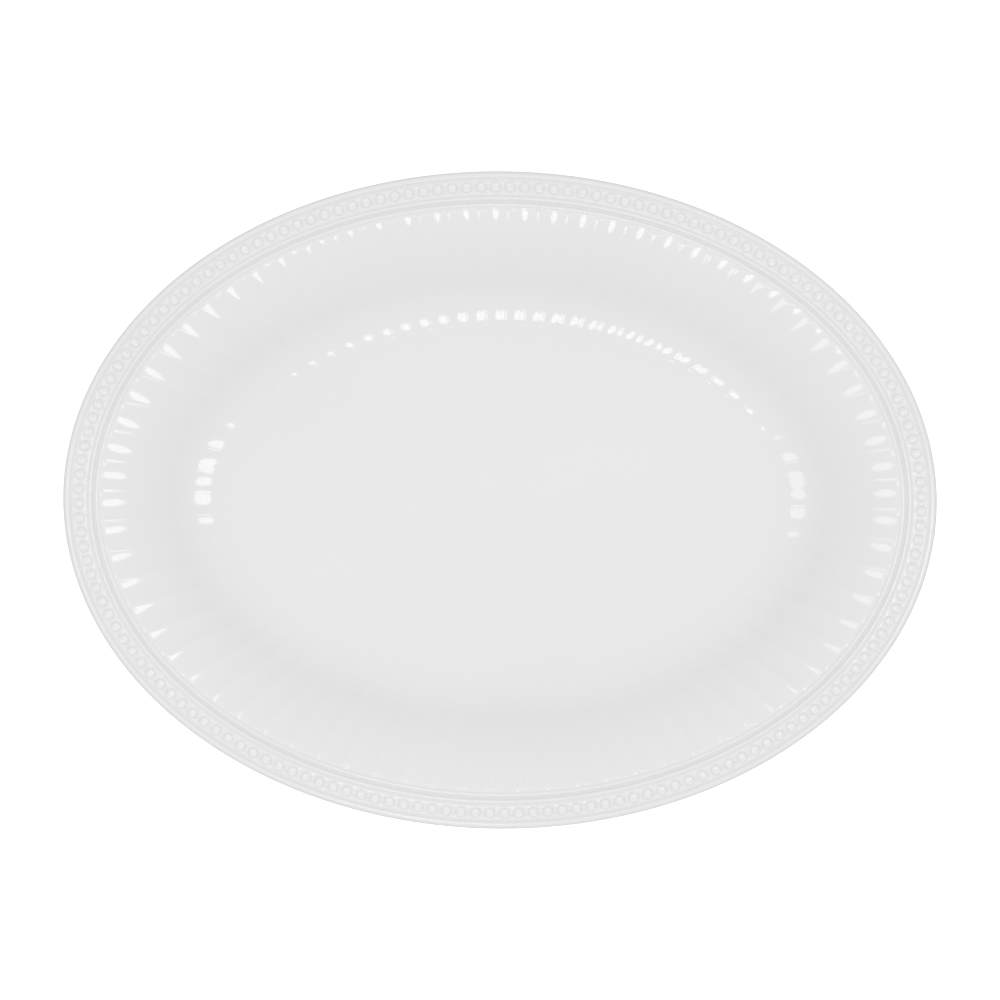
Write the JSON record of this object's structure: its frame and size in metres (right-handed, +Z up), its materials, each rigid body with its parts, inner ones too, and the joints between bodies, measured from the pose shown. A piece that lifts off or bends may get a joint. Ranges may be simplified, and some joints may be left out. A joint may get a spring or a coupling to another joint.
{
  "type": "china serving platter",
  "caption": "Large oval white glazed china platter with a pearl-beaded rim, a double rim moulding, a broad fluted wall and a plain flat well, standing on an unglazed foot ring.",
  "frame": {"origin": "on the table plane, under the middle of the platter", "axes": "+X along the platter's length, +Y across its width, +Z up out of the well"},
  "size_m": [0.4, 0.301, 0.032],
  "materials": {
    "white_glaze": "smooth glossy white glaze",
    "bare_china": "matt unglazed china, wiped clean of glaze"
  },
  "bodies": {
    "root": {"rim_lip": "white_glaze", "bead_border": "white_glaze", "rim_moulding": "white_glaze", "fluted_wall": "white_glaze", "well_floor": "white_glaze", "foot_ring": "bare_china"}
  },
  "joints": []
}
